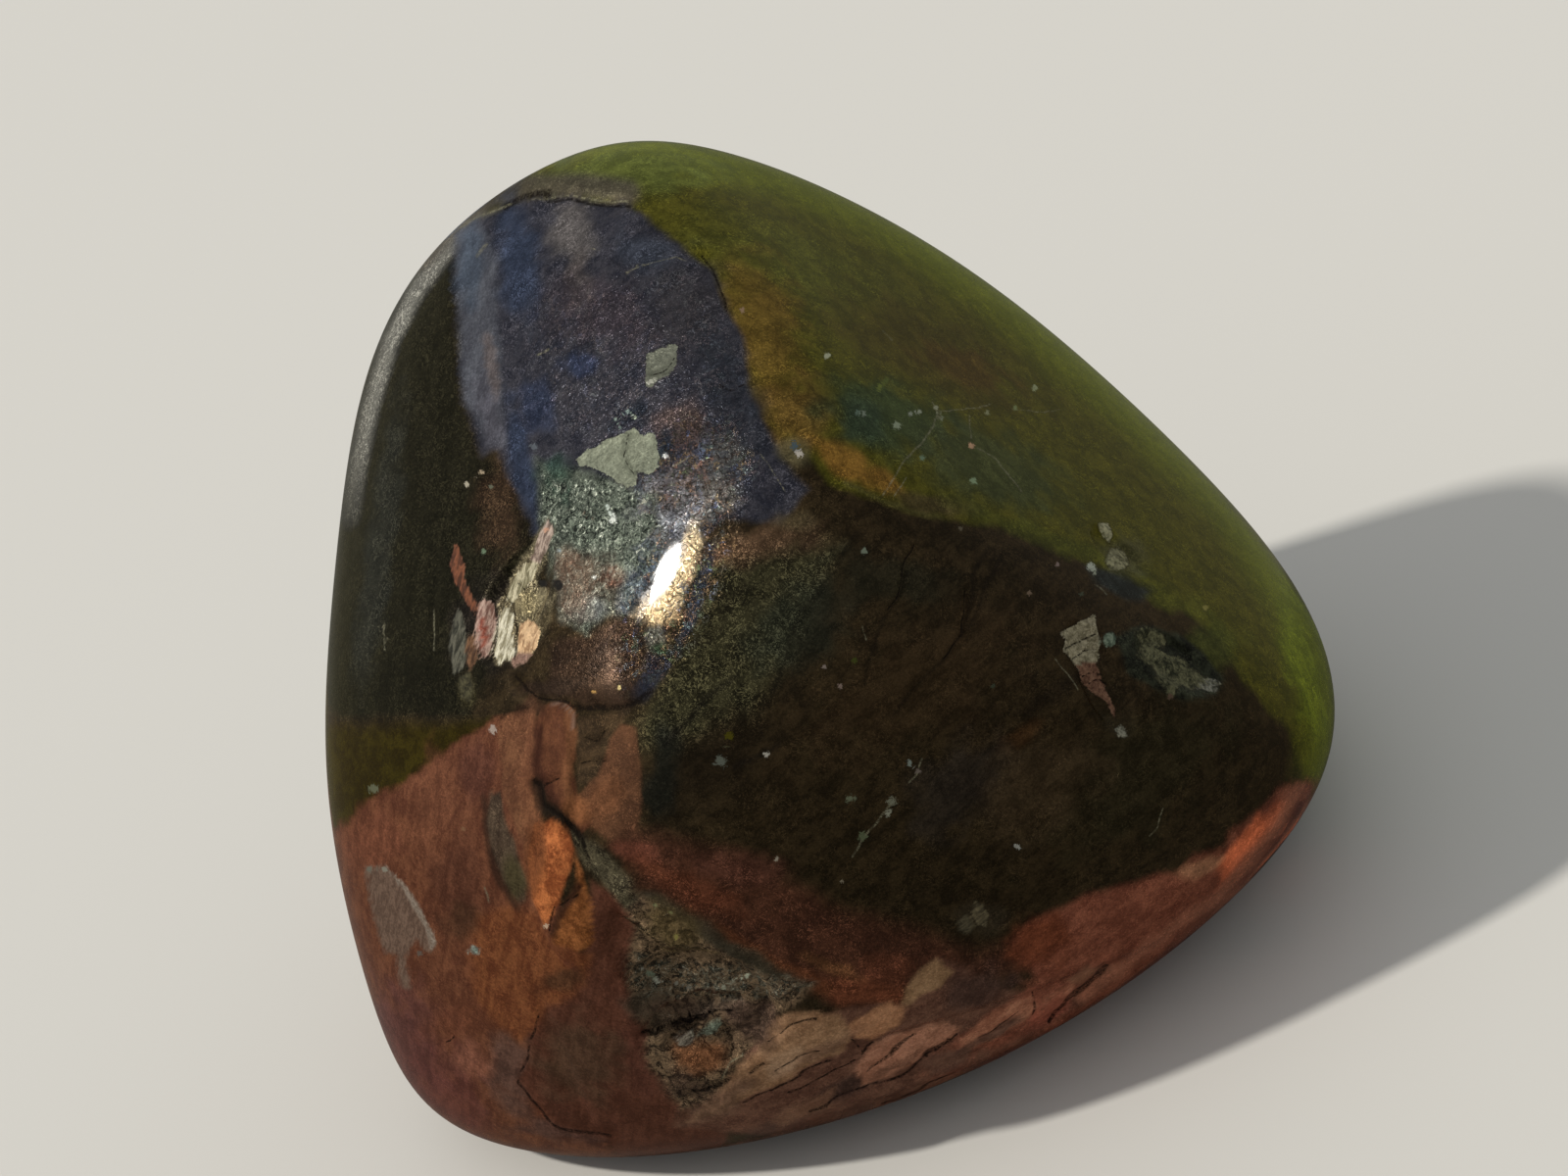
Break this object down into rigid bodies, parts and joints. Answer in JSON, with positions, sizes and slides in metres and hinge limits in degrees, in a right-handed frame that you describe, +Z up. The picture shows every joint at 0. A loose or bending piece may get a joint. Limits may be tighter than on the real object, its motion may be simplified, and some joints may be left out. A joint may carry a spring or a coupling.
{
  "type": "tumbled peacock ore pebble",
  "caption": "Tumbled bornite pebble, a rounded wedge of iridescent copper ore with a pale quartz vein and a broken pocket, for display or as a mineral sample.",
  "frame": {"origin": "middle of the stone's footprint, on the flat spot that it rests on", "axes": "+X is the stone's length, towards its pointed end, -Y is the front with the broken pocket and the vein, +Z is up from the flat spot to the peak"},
  "size_m": [0.0296, 0.0258, 0.0251],
  "materials": {
    "bornite": "polished iridescent sulphide ore with a metallic lustre"
  },
  "bodies": {
    "root": {"peacock_ore": "bornite"}
  },
  "joints": []
}
